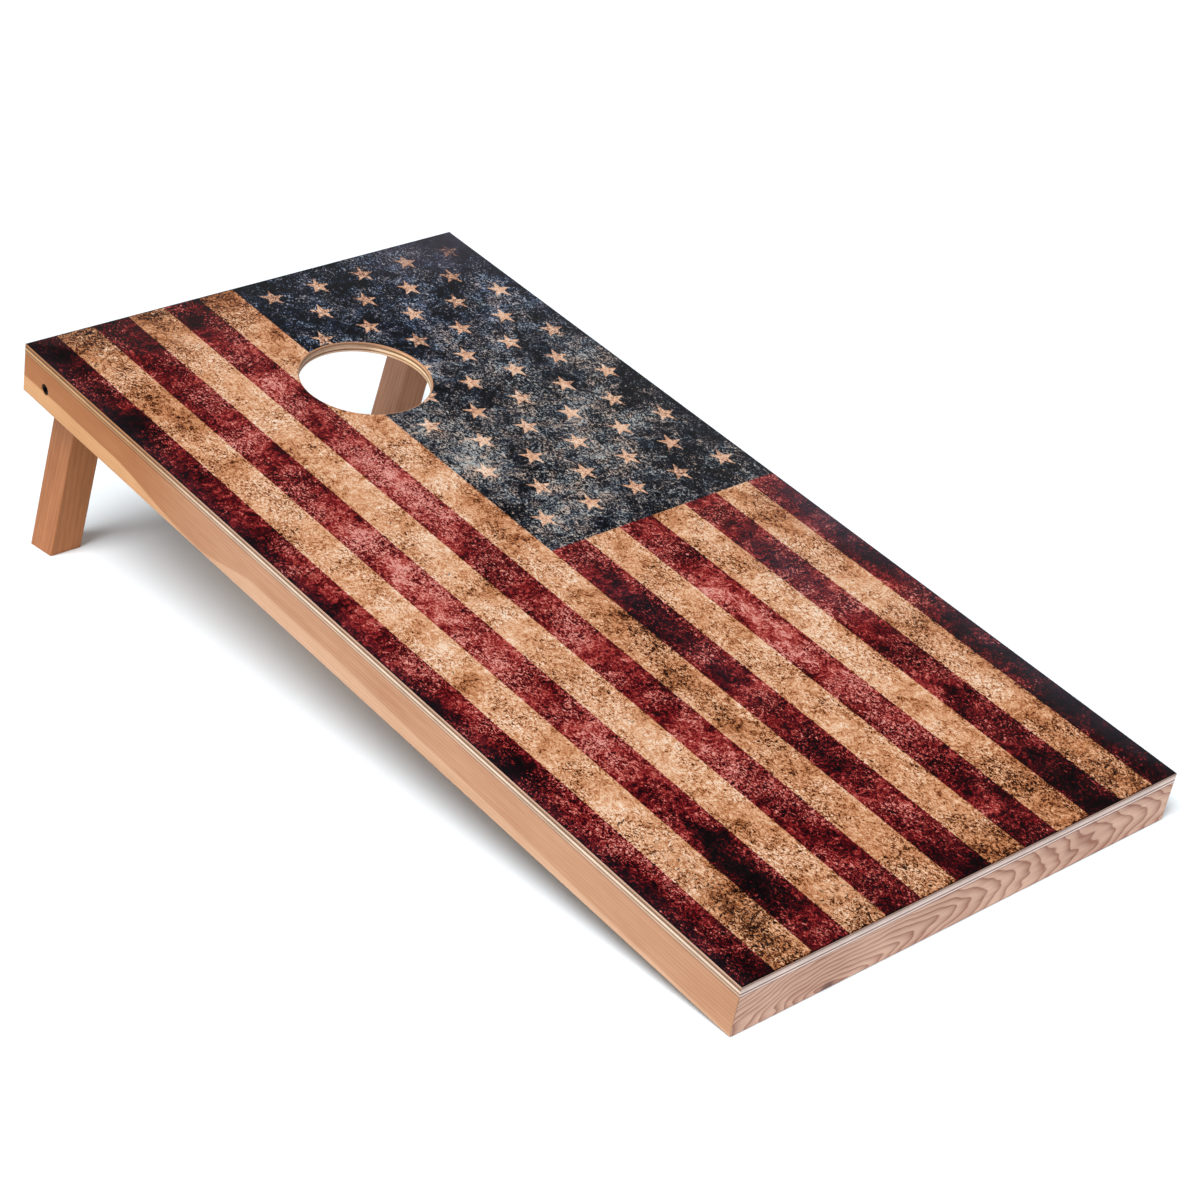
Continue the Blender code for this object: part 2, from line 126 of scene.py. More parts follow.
# Print noises
WARP = (30.0, 3.0, 0.6)
WARP_REACH = (0.05, 0.05, 0.0)
GRUNGE = (12.0, 4.0, 0.85, 0.25)
GRIT = (430.0, 1.5, 1.0, 0.8)
GRIT_STRETCH = (1.0, 0.68, 0.0)
GRIT_PLACES = (16.0, 2.0, 0.6)
FLECKS = (170.0, 2.0, 0.9)
FLECK_STRETCH = (1.0, 0.8, 0.0)
CREASES = (26.0, 5.0, 0.75, 0.5)
CREASE_STRETCH = (1.0, 0.75, 0.0)
WEAVE = (1.0, 2.0, 0.9)
THREADS_PER_METRE = (420.0, 90.0, 0.0)
WEFT_PER_METRE = (110.0, 380.0, 0.0)
WEFT_TURN = (0, 0, 0.5)
BRUSHED = (1.0, 3.0, 0.8)
BRUSHED_PER_METRE = (95.0, 26.0, 0.0)
HUES = (45.0, 3.0, 0.7)
SPECKLE = (270.0, 3.0, 0.8)

# How far each of them moves the ink along its ramp
GRUNGE_TONE = 1.5
GRIT_TONE = 2.5
FLECK_TONE = 0.19
THREAD_TONE = 0.22
VEIN_TONE = 0.07
SIDE_TONE, SIDE_FADE = -0.26, 0.035
END_TONE, END_FADE = -0.24, 0.16
BORDER_TONE, BORDER_WIDTH = -0.4, 0.003
CANTON_TONE = -0.14
WEFT_TONE = 0.26
BRUSHED_TONE = 0.16
CANTON_GRIT_TONE = 0.9
CANTON_GRUNGE_TONE = 0.3
STAR_VEIN_TONE = -0.06
# The haze ink, partly a painted sheen, darkens the stars by this
STAR_HAZE_AND_SHEEN_TONE = -0.20

# An ink's contrast and its change of tone
RED_CONTRAST = (1.16, -0.14)
BLUE_CONTRAST = (1.16, -0.09)
STAR_CONTRAST = (0.60, 0.37)

# The rest of the print's looks
HUE_TINTS = ((0.84, 1.02, 1.12, 1), (1.14, 1.0, 0.90, 1))
COLD_TINTS = ((1, 1, 1, 1), (0.78, 0.96, 1.32, 1))
COLD_BAND = (0.36, 0.14)  # from the rear end, where the cold tint sets in
SPECK_PATCH_SHARE = 0.17
SPECK_THRESHOLD = 0.63
SPECK_STRENGTH = 0.92
RAGGED_EDGE = 0.0022
SIDE_HAZE, SIDE_HAZE_WIDTH = 0.12, 0.025
# How much haze ink is laid over the print, partly the print's haze and partly a painted sheen
HAZE_AND_SHEEN_SHARE, HAZE_AND_SHEEN_GRUNGE = 0.55, 1.5
PRINT_ROUGHNESS = (0.30, 0.42)
PRINT_SPECULAR = 0.07
CREASE_HEIGHT = 0.00015
GRIT_HEIGHT = 0.00002

# How much of the light the brightest ink and the palest wood give back
PRINT_SHARE = 0.68
WOOD_SHARE = 0.68

# Wood: colours between the growth rings and in them
RAIL_EARLY, RAIL_LATE = (220, 168, 132), (180, 120, 82)
SAP_EARLY, SAP_LATE = (238, 192, 158), (204, 150, 110)
END_EARLY, END_LATE = (244, 202, 178), (164, 108, 86)
LEG_COLOURS = {"left": ((204, 134, 86), (143, 83, 47)), "right": ((226, 168, 134), (164, 110, 78))}
BLOCK_EARLY, BLOCK_LATE = (214, 170, 138), (170, 120, 88)
REAR_WARMTH = (0.74, 0.54, 0.32, 1)
SAP_REAR_WARMTH = (0.98, 0.86, 0.62, 1)
REAR_BAND = (0.43, 0.20)  # from the rear end, where those set in

# Wood noises. The scale along the grain stands second of three.
SLOW, SLOW_PER_METRE = (1.0, 3.0, 0.55), (16.0, 4.0, 16.0)
FIBRE, FIBRE_PER_METRE = (1.0, 3.0, 0.8), (700.0, 22.0, 700.0)
STREAK, STREAK_PER_METRE = (1.0, 4.0, 0.7), (190.0, 3.0, 190.0)
BLOTCH, BLOTCH_PER_METRE = (1.0, 3.0, 0.6), (22.0, 7.0, 22.0)
BEND = (1.0, 2.0, 0.6)
BEND_PER_METRE, BEND_REACH = (10.0, 10.0, 26.0), 0.075
BEND_UP_PER_METRE, BEND_UP_REACH = (12.0, 11.0, 16.0), 0.018
BEND_UP_SHIFT = (3, 5, 7)
SEED_SHIFT = (1.0, 1.7, 0.6)
RING_SHARPNESS = 2.2
RING_END = 0.86  # where in a ring its darkness falls off

# How the wood's darkness is made up, from 0 between the rings to 1 in them
BASE_DARKNESS = 0.25
FIBRE_DARKNESS = 0.8
BLOTCH_DARKNESS = 0.9
WOOD_ROUGHNESS = 0.52
WOOD_SPECULAR = 0.12
FIBRE_HEIGHT = 0.00012
RING_HEIGHT = 0.00008
SIDE_JOINT_SHADOW, END_JOINT_SHADOW = 0.25, 0.35  # how far a painted shadow in the joint with the deck darkens the rails

# The pale sapwood along a side rail's lower edge
SAP_DIP = -0.018
SAP_DIP_FROM_REAR = 0.352
SAP_DIP_AHEAD, SAP_DIP_BEHIND = 0.11, 0.17
SAP_HEIGHTS = (0.0035, 0.0205)  # at the two places along the rail that follow
SAP_PLACES = (0.02, 0.62)
SAP_RAGGED = 0.006
SAP_EDGE = 0.0016

# Knots: place along the grain and height, the height of the arches far from it, how many rings out it starts
KNOTS = {
    "front_rail": ((-0.181, 0.003, 0.020, 0.0),),
    "rear_rail": ((-0.050, 0.045, 0.030, 1.0), (0.190, 0.010, 0.020, 9.3)),
    "cross_brace": ((-0.420, 0.020, 0.025, 0.0),),
}
KNOT_COLOUR = (104, 62, 54)
KNOT_STRENGTH = 0.85
KNOT_RADIUS = 0.014
KNOT_CORE = 0.002
KNOT_FLATNESS = 1.6
ARCH_PITCH = 0.0055
ARCH_LEFT, ARCH_RIGHT = 2.8, 4.3  # how far the rings are drawn out on each side of a knot
ARCH_POWER = 1.7  # 1 gives pointed arches and 2 round ones
ARCH_RUN = 0.18  # from a knot to where the arches reach their own height
KNOT_BLEND = 2.0  # rings over which two knots' rings run into one another
RINGS_INTO_RAIL = 60.0  # per metre of its thickness

# Hardware
BLACK_STEEL = ((8, 6, 6), (26, 21, 19))
ZINC = ((186, 190, 196), (204, 198, 184))

# Studio
FLOOR_REACH = 14.0
FLOOR_DROP = 0.0005  # keeps the floor clear of the feet
FLOOR_COLOUR = (0.81, 0.866, 0.905, 1.0)
FLOOR_ROUGHNESS = 0.9
KEY_POWER = 3.7
KEY_SPREAD = math.radians(26)
KEY_FROM = Vector((-0.56, -0.36, 1.0))
SURROUND = ((0.30, 1.0), (0.62, 0.06))  # height, from 0 at the horizon to 1 overhead, and brightness
SURROUND_POWER = 1.35

# Camera
CAMERA_PLACE = Vector((-1.8639, -2.1877, 1.5718))
CAMERA_HEADING = math.radians(41.62)  # from +Y towards +X
CAMERA_PITCH = math.radians(-27.145)
CAMERA_ROLL = math.radians(1.659)
CAMERA_LENS = 88.38
SENSOR = 36.0


def board_frame():
    """The board's own frame, from where the record puts the left leg's hinge."""
    hinge = next(j for j in frame["joints"] if j["name"] == "left_leg_fold")
    turn = Matrix.Rotation(TILT, 4, "X")
    place = Vector((0, *hinge["pos_m"][1:])) - turn @ PIVOT_IN_BOARD
    return Matrix.Translation(place) @ turn


BOARD = board_frame()


def linear(red, green, blue):
    """An sRGB colour of 0 to 255 as linear RGBA."""
    shares = [c / 255 for c in (red, green, blue)]
    return tuple(s / 12.92 if s <= 0.04045 else ((s + 0.055) / 1.055) ** 2.4 for s in shares) + (1.0,)


def link(name, data):
    thing = bpy.data.objects.new(name, data)
    bpy.context.scene.collection.objects.link(thing)
    return thing


class Nodes:
    """One material's node tree. Each method adds a node and returns its output socket."""

    def __init__(self, name):
        self.material = bpy.data.materials.new(name)
        self.material.use_nodes = True
        self.tree = self.material.node_tree
        self.shader = self.tree.nodes["Principled BSDF"]
        self.coordinates = self.tree.nodes.new("ShaderNodeTexCoord")

    def feed(self, socket, value):
        if isinstance(value, bpy.types.NodeSocket):
            self.tree.links.new(value, socket)
        elif value is not None:
            socket.default_value = value

    def add(self, kind, inputs, output=0, **settings):
        node = self.tree.nodes.new(kind)
        for name, value in settings.items():
            setattr(node, name, value)
        for index, value in inputs.items():
            self.feed(node.inputs[index], value)
        return node.outputs[output]

    def place(self, location=(0, 0, 0), turn=(0, 0, 0)):
        """Object coordinates as seen from a frame at that location, turned by those angles."""
        inputs = {0: self.coordinates.outputs["Object"], 1: location, 2: turn}
        return self.add("ShaderNodeMapping", inputs, vector_type="TEXTURE")

    def scaled(self, vector, scale, shift=(0, 0, 0), turn=(0, 0, 0)):
        return self.add("ShaderNodeMapping", {0: vector, 1: shift, 2: turn, 3: scale}, vector_type="POINT")

    def split(self, vector):
        return self.add("ShaderNodeSeparateXYZ", {0: vector}).node.outputs[:]

    def join(self, x, y, z):
        return self.add("ShaderNodeCombineXYZ", {0: x, 1: y, 2: z})

    def maths(self, operation, a, b=None, c=None, clamp=False):
        return self.add("ShaderNodeMath", {0: a, 1: b, 2: c}, operation=operation, use_clamp=clamp)

    def total(self, *values):
        result = values[0]
        for value in values[1:]:
            result = self.maths("ADD", result, value)
        return result

    def product(self, *values):
        result = values[0]
        for value in values[1:]:
            result = self.maths("MULTIPLY", result, value)
        return result

    def swing(self, value, amount):
        """A noise of 0 to 1 as a change of plus or minus half that amount."""
        return self.maths("MULTIPLY_ADD", value, amount, -amount / 2)

    def vector(self, operation, a, b=None, c=None, output=0):
        return self.add("ShaderNodeVectorMath", {0: a, 1: b, 2: c}, output, operation=operation)

    def rescale(self, value, low, high, to_low=0.0, to_high=1.0, smooth=True):
        kind = "SMOOTHSTEP" if smooth else "LINEAR"
        inputs = {0: value, 1: low, 2: high, 3: to_low, 4: to_high}
        return self.add("ShaderNodeMapRange", inputs, interpolation_type=kind)

    def noise(self, vector, scale, detail=2.0, roughness=0.5, distortion=0.0, output=0):
        inputs = {0: vector, 2: scale, 3: detail, 4: roughness, 8: distortion}
        return self.add("ShaderNodeTexNoise", inputs, output, noise_dimensions="3D")

    def mix(self, share, a, b, blend="MIX"):
        inputs = {0: share, 6: a, 7: b}
        return self.add("ShaderNodeMix", inputs, 2, data_type="RGBA", blend_type=blend)

    def times(self, colour, share):
        """A colour times a number or another colour."""
        if isinstance(share, float):
            share = (share, share, share, 1.0)
        return self.mix(1.0, colour, share, "MULTIPLY")

    def ramp(self, value, stops):
        socket = self.add("ShaderNodeValToRGB", {0: value})
        elements = socket.node.color_ramp.elements
        while len(elements) < len(stops):
            elements.new(1.0)
        for element, (position, colour) in zip(elements, stops):
            element.position = position
            element.color = linear(*colour)
        return socket

    def finish(self, colour, roughness, bumps=(), metallic=0.0, specular=0.5):
        """Bumps are (height socket, distance in metres) pairs."""
        self.feed(self.shader.inputs["Base Color"], colour)
        self.feed(self.shader.inputs["Roughness"], roughness)
        self.shader.inputs["Metallic"].default_value = metallic
        self.shader.inputs["Specular IOR Level"].default_value = specular
        normal = None
        for height, distance in bumps:
            inputs = {"Strength": 1.0, "Distance": distance, "Height": height, "Normal": normal}
            normal = self.add("ShaderNodeBump", inputs)
        self.feed(self.shader.inputs["Normal"], normal)
        return self.material


def in_board(nodes):
    """The board's own coordinates."""
    return nodes.place(BOARD.to_translation(), (TILT, 0, 0))


# The print


def nearest_place(nodes, value, last):
    """The nearest whole number from 0 to last."""
    return nodes.maths("MINIMUM", nodes.maths("MAXIMUM", nodes.maths("ROUND", value), 0.0), last)


def star_shape(nodes, across, along):
    """1 inside a five-pointed star about the origin."""
    reach = nodes.vector("LENGTH", nodes.join(across, along, 0.0), output=1)
    half_point = math.pi / 5
    from_tip = nodes.maths("PINGPONG", nodes.maths("ARCTAN2", along, across), half_point)
    edge = Vector((STAR_WAIST * math.sin(half_point), 1 - STAR_WAIST * math.cos(half_point))).normalized()
    beside = nodes.product(reach, nodes.maths("COSINE", from_tip), edge.x)
    ahead = nodes.product(reach, nodes.maths("SINE", from_tip), edge.y)
    outside = nodes.total(beside, ahead, -STAR_RADIUS * edge.x)
    return nodes.rescale(outside, PRINT_EDGE, -PRINT_EDGE)


def star_mask(nodes, x, y):
    """1 inside the canton's stars. Rows of five and rows of four alternate, half a pitch apart."""
    rows = nodes.maths("DIVIDE", nodes.maths("SUBTRACT", STAR_FIRST_ROW, y), STAR_ROW_PITCH)
    row = nearest_place(nodes, rows, STAR_ROWS - 1.0)
    along = nodes.product(nodes.maths("SUBTRACT", rows, row), STAR_ROW_PITCH / STAR_STRETCH)
    odd = nodes.maths("FLOORED_MODULO", row, 2.0)
    pitch = nodes.maths("MULTIPLY_ADD", odd, STAR_PITCH_CHANGE, STAR_PITCH)
    first = nodes.maths("MULTIPLY_ADD", odd, STAR_INDENT, STAR_FIRST_COLUMN)
    columns = nodes.maths("DIVIDE", nodes.maths("SUBTRACT", x, first), pitch)
    column = nearest_place(nodes, columns, nodes.maths("SUBTRACT", STARS_IN_ROW - 1.0, odd))
    across = nodes.product(nodes.maths("SUBTRACT", columns, column), pitch)
    return star_shape(nodes, across, along)


# Where the print is worn lighter (+) or stained darker (-): middle and half size in mm from the rear left
# corner, across then along the board, and by how much. The lighter patches at 400, 820 and 448, 830 mm
# are partly wear and partly a painted sheen.
STRIPE_PATCHES = (
    (18, 10, 50, 50, -0.12),
    (20, 170, 30, 200, -0.38),
    (15, 660, 30, 60, 0.10),
    (22, 880, 26, 60, -0.38),
    (20, 970, 28, 50, 0.10),
    (20, 1090, 28, 90, -0.18),
    (64, 220, 30, 150, -0.30),
    (62, 400, 30, 90, -0.05),
    (60, 690, 26, 60, 0.10),
    (66, 745, 26, 24, -0.20),
    (55, 970, 22, 50, 0.14),
    (64, 1140, 30, 110, -0.14),
    (112, 540, 30, 140, 0.40),
    (112, 720, 30, 150, 0.15),
    (110, 890, 30, 70, 0.25),
    (110, 1085, 28, 100, -0.70),
    (160, 410, 26, 40, -0.15),
    (160, 860, 28, 60, 0.10),
    (160, 1060, 28, 40, -0.20),
    (208, 80, 34, 70, -0.10),
    (208, 220, 34, 90, 0.10),
    (208, 430, 30, 140, 0.34),
    (208, 560, 28, 34, -0.10),
    (208, 700, 30, 140, 0.12),
    (208, 930, 28, 80, 0.12),
    (208, 1030, 28, 50, -0.15),
    (256, 110, 28, 60, -0.22),
    (256, 540, 28, 26, -0.12),
    (256, 850, 34, 330, -0.30),
    (305, 740, 30, 200, -0.25),
    (305, 1000, 30, 110, -0.32),
    (352, 700, 28, 120, -0.16),
    # Partly wear, partly a painted sheen
    (400, 820, 30, 140, 0.32),
    (448, 650, 30, 60, 0.10),
    # Partly wear, partly a painted sheen
    (448, 830, 30, 80, 0.16),
    (448, 980, 30, 60, -0.14),
    (448, 1130, 30, 110, -0.20),
    (497, 720, 30, 150, -0.20),
    (497, 1120, 34, 170, -0.32),
    (545, 660, 30, 90, -0.32),
    (545, 880, 26, 60, -0.16),
    (545, 1130, 30, 110, -0.14),
    (592, 800, 30, 220, -0.22),
    (592, 1060, 40, 200, -0.48),
)
CANTON_PATCHES = (
    (310, 420, 60, 100, 0.26),
    (470, 410, 60, 90, 0.26),
    (400, 550, 80, 60, 0.16),
    (590, 320, 60, 60, 0.05),
    (330, 120, 120, 130, -0.20),
    (520, 170, 110, 130, -0.13),
    (400, 300, 60, 60, -0.12),
    (580, 420, 60, 70, -0.12),
    (540, 560, 90, 70, -0.28),
)
SPECK_PATCHES = (
    (64, 1150, 62, 190, 0.78),
    (160, 1200, 70, 90, 0.5),
    (256, 1200, 60, 70, 0.4),
    (370, 1190, 80, 60, 0.4),
    (540, 1180, 90, 70, 0.5),
    (60, 20, 60, 150, 0.7),
    (160, 10, 50, 120, 0.6),
    (256, 0, 50, 110, 0.5),
)
# Where haze ink clouds the print, in the same columns: partly the print's own purple-grey haze, partly a
# painted sheen at the rear right corner and at 497, 760 mm
HAZE_AND_SHEEN_PATCHES = (
    (600, 10, 170, 110, 0.95),
    (300, 720, 40, 110, 0.20),
    (305, 860, 30, 80, 0.16),
    (497, 760, 40, 130, 0.40),
    (600, 700, 50, 130, 0.60),
    (610, 1000, 50, 220, 0.30),
)

# Each ink from its darkest stain to its most worn
TAN_INK = (
    (0.00, (18, 6, 3)),
    (0.11, (64, 23, 9)),
    (0.20, (116, 60, 32)),
    (0.28, (166, 100, 60)),
    (0.38, (194, 127, 83)),
    (0.50, (213, 152, 109)),
    (0.60, (228, 171, 129)),
    (0.72, (240, 191, 154)),
    (0.86, (248, 212, 180)),
    (1.00, (254, 232, 212)),
)
RED_INK = (
    (0.00, (8, 3, 5)),
    (0.15, (24, 3, 8)),
    (0.30, (56, 3, 10)),
    (0.40, (88, 8, 15)),
    (0.50, (122, 19, 24)),
    (0.60, (151, 39, 39)),
    (0.70, (176, 68, 62)),
    (0.80, (198, 98, 88)),
    (0.92, (220, 136, 124)),
    (1.00, (234, 166, 154)),
)
BLUE_INK = (
    (0.00, (2, 2, 4)),
    (0.18, (4, 5, 10)),
    (0.32, (13, 16, 27)),
    (0.42, (31, 35, 49)),
    (0.50, (55, 60, 74)),
    (0.60, (84, 87, 96)),
    (0.70, (118, 115, 117)),
    (0.82, (160, 150, 144)),
    (1.00, (204, 190, 180)),
)
STAR_INK = (
    (0.00, (40, 26, 25)),
    (0.20, (84, 60, 56)),
    (0.34, (146, 106, 90)),
    (0.46, (208, 152, 120)),
    (0.58, (230, 180, 146)),
    (0.75, (242, 206, 178)),
    (1.00, (252, 230, 212)),
)
BLACK_INK = linear(24, 16, 17)
# Purple-grey ink for the print's haze, which also paints a sheen
HAZE_AND_SHEEN_INK = linear(84, 78, 94)


def patches(nodes, place, table, base=0.0):
    """The sum of soft round patches."""
    result = base
    for across, along, half_across, half_along, amount in table:
        scale = Vector((1000 / half_across, 1000 / half_along, 0))
        middle = Vector((across / 1000 - HALF_WIDTH, BOARD_LENGTH - along / 1000, 0))
        local = nodes.scaled(place, scale, -middle * scale)
        fade = nodes.add("ShaderNodeTexGradient", {0: local}, 1, gradient_type="SPHERICAL")
        result = nodes.maths("MULTIPLY_ADD", fade, amount, result)
    return result


def print_wear(nodes, flat):
    """The noises of crumpled and worn ink, at every scale from a hand's width to a fibre."""
    wobble = nodes.vector("SUBTRACT", nodes.noise(flat, *WARP, output=1), (0.5, 0.5, 0.5))
    warped = nodes.vector("MULTIPLY_ADD", wobble, WARP_REACH, flat)
    flecks = nodes.noise(nodes.scaled(warped, FLECK_STRETCH), *FLECKS)
    creases = nodes.noise(nodes.scaled(warped, CREASE_STRETCH), *CREASES)
    fold = nodes.maths("ABSOLUTE", nodes.maths("SUBTRACT", creases, 0.5))
    threads = nodes.noise(nodes.scaled(warped, THREADS_PER_METRE), *WEAVE)
    weft = nodes.noise(nodes.scaled(warped, WEFT_PER_METRE, turn=WEFT_TURN), *WEAVE)
    brushed = nodes.noise(nodes.scaled(warped, BRUSHED_PER_METRE), *BRUSHED)
    return SimpleNamespace(
        warped=warped,
        grunge=nodes.noise(flat, *GRUNGE),
        grit=nodes.noise(nodes.scaled(flat, GRIT_STRETCH), *GRIT),
        grit_share=nodes.rescale(nodes.noise(flat, *GRIT_PLACES), 0.36, 0.64, 0.36, 1.16),
        flecks=nodes.rescale(flecks, 0.40, 0.60),
        creases=creases,
        veins=nodes.total(nodes.rescale(fold, 0.02, 0.0), nodes.rescale(fold, 0.09, 0.0)),
        threads=nodes.rescale(threads, 0.35, 0.65),
        weft=nodes.rescale(weft, 0.40, 0.60),
        brushed=nodes.rescale(brushed, 0.38, 0.62),
    )


def print_tone(nodes, wear, from_side, y):
    """A place on the ink ramps, from 0 at a stain to 1 where worn pale, before the listed patches."""
    from_end = nodes.maths("MINIMUM", y, nodes.maths("SUBTRACT", BOARD_LENGTH, y))
    border = nodes.rescale(nodes.maths("MINIMUM", from_side, from_end), BORDER_WIDTH, 0.0)
    return nodes.total(
        0.5,
        nodes.swing(wear.grunge, GRUNGE_TONE),
        nodes.product(nodes.swing(wear.grit, GRIT_TONE), wear.grit_share),
        nodes.swing(wear.flecks, FLECK_TONE),
        nodes.swing(wear.threads, THREAD_TONE),
        nodes.product(wear.veins, VEIN_TONE),
        nodes.rescale(from_side, SIDE_FADE, -0.02, 0.0, SIDE_TONE),
        nodes.rescale(from_end, END_FADE, -0.03, 0.0, END_TONE),
        nodes.product(border, BORDER_TONE),
    )


def stripe_colour(nodes, x, y, wear, tone, ragged):
    """Thirteen stripes, red at both sides, with black specks."""
    tone = patches(nodes, wear.warped, STRIPE_PATCHES, tone)
    tan = nodes.ramp(tone, TAN_INK)
    red = nodes.ramp(nodes.maths("MULTIPLY_ADD", tone, *RED_CONTRAST), RED_INK)
    drift = nodes.rescale(y, BOARD_LENGTH / 2, 0.0, 0.0, -PRINT_DRIFT, smooth=False)
    wave = nodes.product(nodes.total(x, drift, ragged), math.pi / STRIPE_PITCH)
    wave = nodes.maths("SINE", nodes.total(wave, STRIPE_COUNT * math.pi / 2))
    stripes = nodes.mix(nodes.rescale(wave, -STRIPE_SOFTNESS, STRIPE_SOFTNESS), tan, red)
    more_specks = nodes.product(patches(nodes, wear.warped, SPECK_PATCHES), SPECK_PATCH_SHARE)
    black = nodes.total(nodes.noise(wear.warped, *SPECKLE), more_specks, -SPECK_THRESHOLD)
    return nodes.mix(nodes.rescale(black, 0.0, 0.02, 0.0, SPECK_STRENGTH), stripes, BLACK_INK)


def blue_tint(nodes, y, wear):
    """Blue ink that turns grey-brown in clouds, and colder towards the rear."""
    hue = nodes.rescale(nodes.noise(wear.warped, *HUES), 0.40, 0.60)
    first, full = COLD_BAND
    near_rear = nodes.rescale(y, BOARD_LENGTH - first, BOARD_LENGTH - full)
    cold = nodes.product(near_rear, nodes.rescale(wear.creases, 0.3, 0.6))
    return nodes.times(nodes.mix(hue, *HUE_TINTS), nodes.mix(cold, *COLD_TINTS))


def canton_colour(nodes, x, y, wear, tone, haze_and_sheen):
    """Tan stars on blue."""
    tone = nodes.total(
        patches(nodes, wear.warped, CANTON_PATCHES, tone),
        nodes.swing(wear.weft, WEFT_TONE),
        nodes.swing(wear.brushed, BRUSHED_TONE),
        nodes.swing(wear.grit, CANTON_GRIT_TONE),
        nodes.swing(wear.grunge, CANTON_GRUNGE_TONE),
        CANTON_TONE,
    )
    blue = nodes.ramp(nodes.maths("MULTIPLY_ADD", tone, *BLUE_CONTRAST), BLUE_INK)
    star_tone = nodes.total(
        nodes.maths("MULTIPLY_ADD", tone, *STAR_CONTRAST),
        nodes.product(wear.veins, STAR_VEIN_TONE),
        nodes.product(haze_and_sheen, STAR_HAZE_AND_SHEEN_TONE),
    )
    star = nodes.ramp(star_tone, STAR_INK)
    return nodes.mix(star_mask(nodes, x, y), nodes.times(blue, blue_tint(nodes, y, wear)), star)


def print_material():
    nodes = Nodes("deck_print")
    x, y, _ = nodes.split(in_board(nodes))
    wear = print_wear(nodes, nodes.join(x, y, 0.0))
    from_side = nodes.maths("SUBTRACT", HALF_WIDTH, nodes.maths("ABSOLUTE", x))
    tone = print_tone(nodes, wear, from_side, y)
    side_haze = nodes.rescale(from_side, SIDE_HAZE_WIDTH, 0.0, 0.0, SIDE_HAZE)
    # Haze ink: the print's haze along the sides and in patches, and a painted sheen at the rear right corner
    # and mid-right
    haze_and_sheen = patches(nodes, wear.warped, HAZE_AND_SHEEN_PATCHES, side_haze)
    ragged = nodes.swing(wear.grit, RAGGED_EDGE)
    stripes = stripe_colour(nodes, x, y, wear, tone, ragged)
    canton = canton_colour(nodes, x, y, wear, tone, haze_and_sheen)
    right_of = nodes.rescale(nodes.total(x, ragged), CANTON_LEFT - PRINT_EDGE, CANTON_LEFT + PRINT_EDGE)
    behind = nodes.rescale(nodes.total(y, ragged), CANTON_FRONT - PRINT_EDGE, CANTON_FRONT + PRINT_EDGE)
    colour = nodes.mix(nodes.product(right_of, behind), stripes, canton)
    # Haze ink over the print: partly the print's own haze, partly a painted sheen
    cloudy = nodes.total(HAZE_AND_SHEEN_SHARE, nodes.swing(wear.grunge, HAZE_AND_SHEEN_GRUNGE))
    colour = nodes.mix(nodes.maths("MULTIPLY", haze_and_sheen, cloudy, clamp=True), colour, HAZE_AND_SHEEN_INK)
    roughness = nodes.rescale(wear.grunge, 0.4, 0.6, *PRINT_ROUGHNESS)
    bumps = [(wear.grunge, CREASE_HEIGHT), (wear.grit, GRIT_HEIGHT)]
    return nodes.finish(nodes.times(colour, PRINT_SHARE), roughness, bumps, specular=PRINT_SPECULAR)


# Wood


def across_board(nodes):
    """The board's own coordinates with x and y changed over, for grain across the board."""
    x, y, z = nodes.split(in_board(nodes))
    return nodes.join(y, x, z)


def up_board(nodes):
    """The board's own coordinates with y and z changed over, for grain that stands up."""
    x, y, z = nodes.split(in_board(nodes))
    return nodes.join(x, z, y)


def along_leg(nodes):
    """Coordinates about a leg's pivot, with y down the leg."""
    x, y, z = nodes.split(nodes.place(BOARD @ PIVOT_IN_BOARD, (LEAN, 0, 0)))
    return nodes.join(x, z, y)


def straight(pitch, slope, skew):
    """Growth rings that cross the piece at a small angle to its length."""

    def count(nodes, x, y, z):
        return nodes.product(nodes.total(z, nodes.product(x, skew), nodes.product(y, slope)), 1 / pitch)

    return count


def knot_rings(nodes, knot, y, z, bend, bend_up):
    """How many rings out from a knot a place is. The rings are drawn out along the grain into arches."""
    knot_y, knot_z, arch_z, start = knot
    along = nodes.total(y, -knot_y, nodes.swing(bend, BEND_REACH))
    to_right = nodes.product(along, 1 / ARCH_RIGHT)
    to_left = nodes.product(along, -1 / ARCH_LEFT)
    stretched = nodes.maths("MAXIMUM", to_right, to_left)
    middle = nodes.rescale(along, 0.0, ARCH_RUN, knot_z, arch_z)
    above = nodes.total(z, nodes.swing(bend_up, BEND_UP_REACH), nodes.product(middle, -1.0))
    offset = nodes.maths("ABSOLUTE", above)
    powers = nodes.total(
        nodes.maths("POWER", stretched, ARCH_POWER),
        nodes.maths("POWER", offset, ARCH_POWER),
    )
    reach = nodes.maths("POWER", powers, 1 / ARCH_POWER)
    return nodes.maths("MULTIPLY_ADD", reach, 1 / ARCH_PITCH, start)


def arched(knots):
    """Growth rings round knots."""

    def count(nodes, x, y, z):
        place = nodes.join(x, y, z)
        bend = nodes.noise(nodes.scaled(place, BEND_PER_METRE), *BEND)
        bend_up = nodes.noise(nodes.scaled(place, BEND_UP_PER_METRE, shift=BEND_UP_SHIFT), *BEND)
        rings = None
        for knot in knots:
            ring = knot_rings(nodes, knot, y, z, bend, bend_up)
            rings = ring if rings is None else nodes.maths("SMOOTH_MIN", rings, ring, KNOT_BLEND)
        return nodes.total(rings, nodes.product(x, RINGS_INTO_RAIL))

    return count


def warmth(nodes, y, tint):
    """Sun-aged, more orange wood towards the board's rear end."""
    first, full = REAR_BAND
    near_rear = nodes.rescale(y, BOARD_LENGTH - first, BOARD_LENGTH - full)
    return nodes.mix(near_rear, (1, 1, 1, 1), tint)


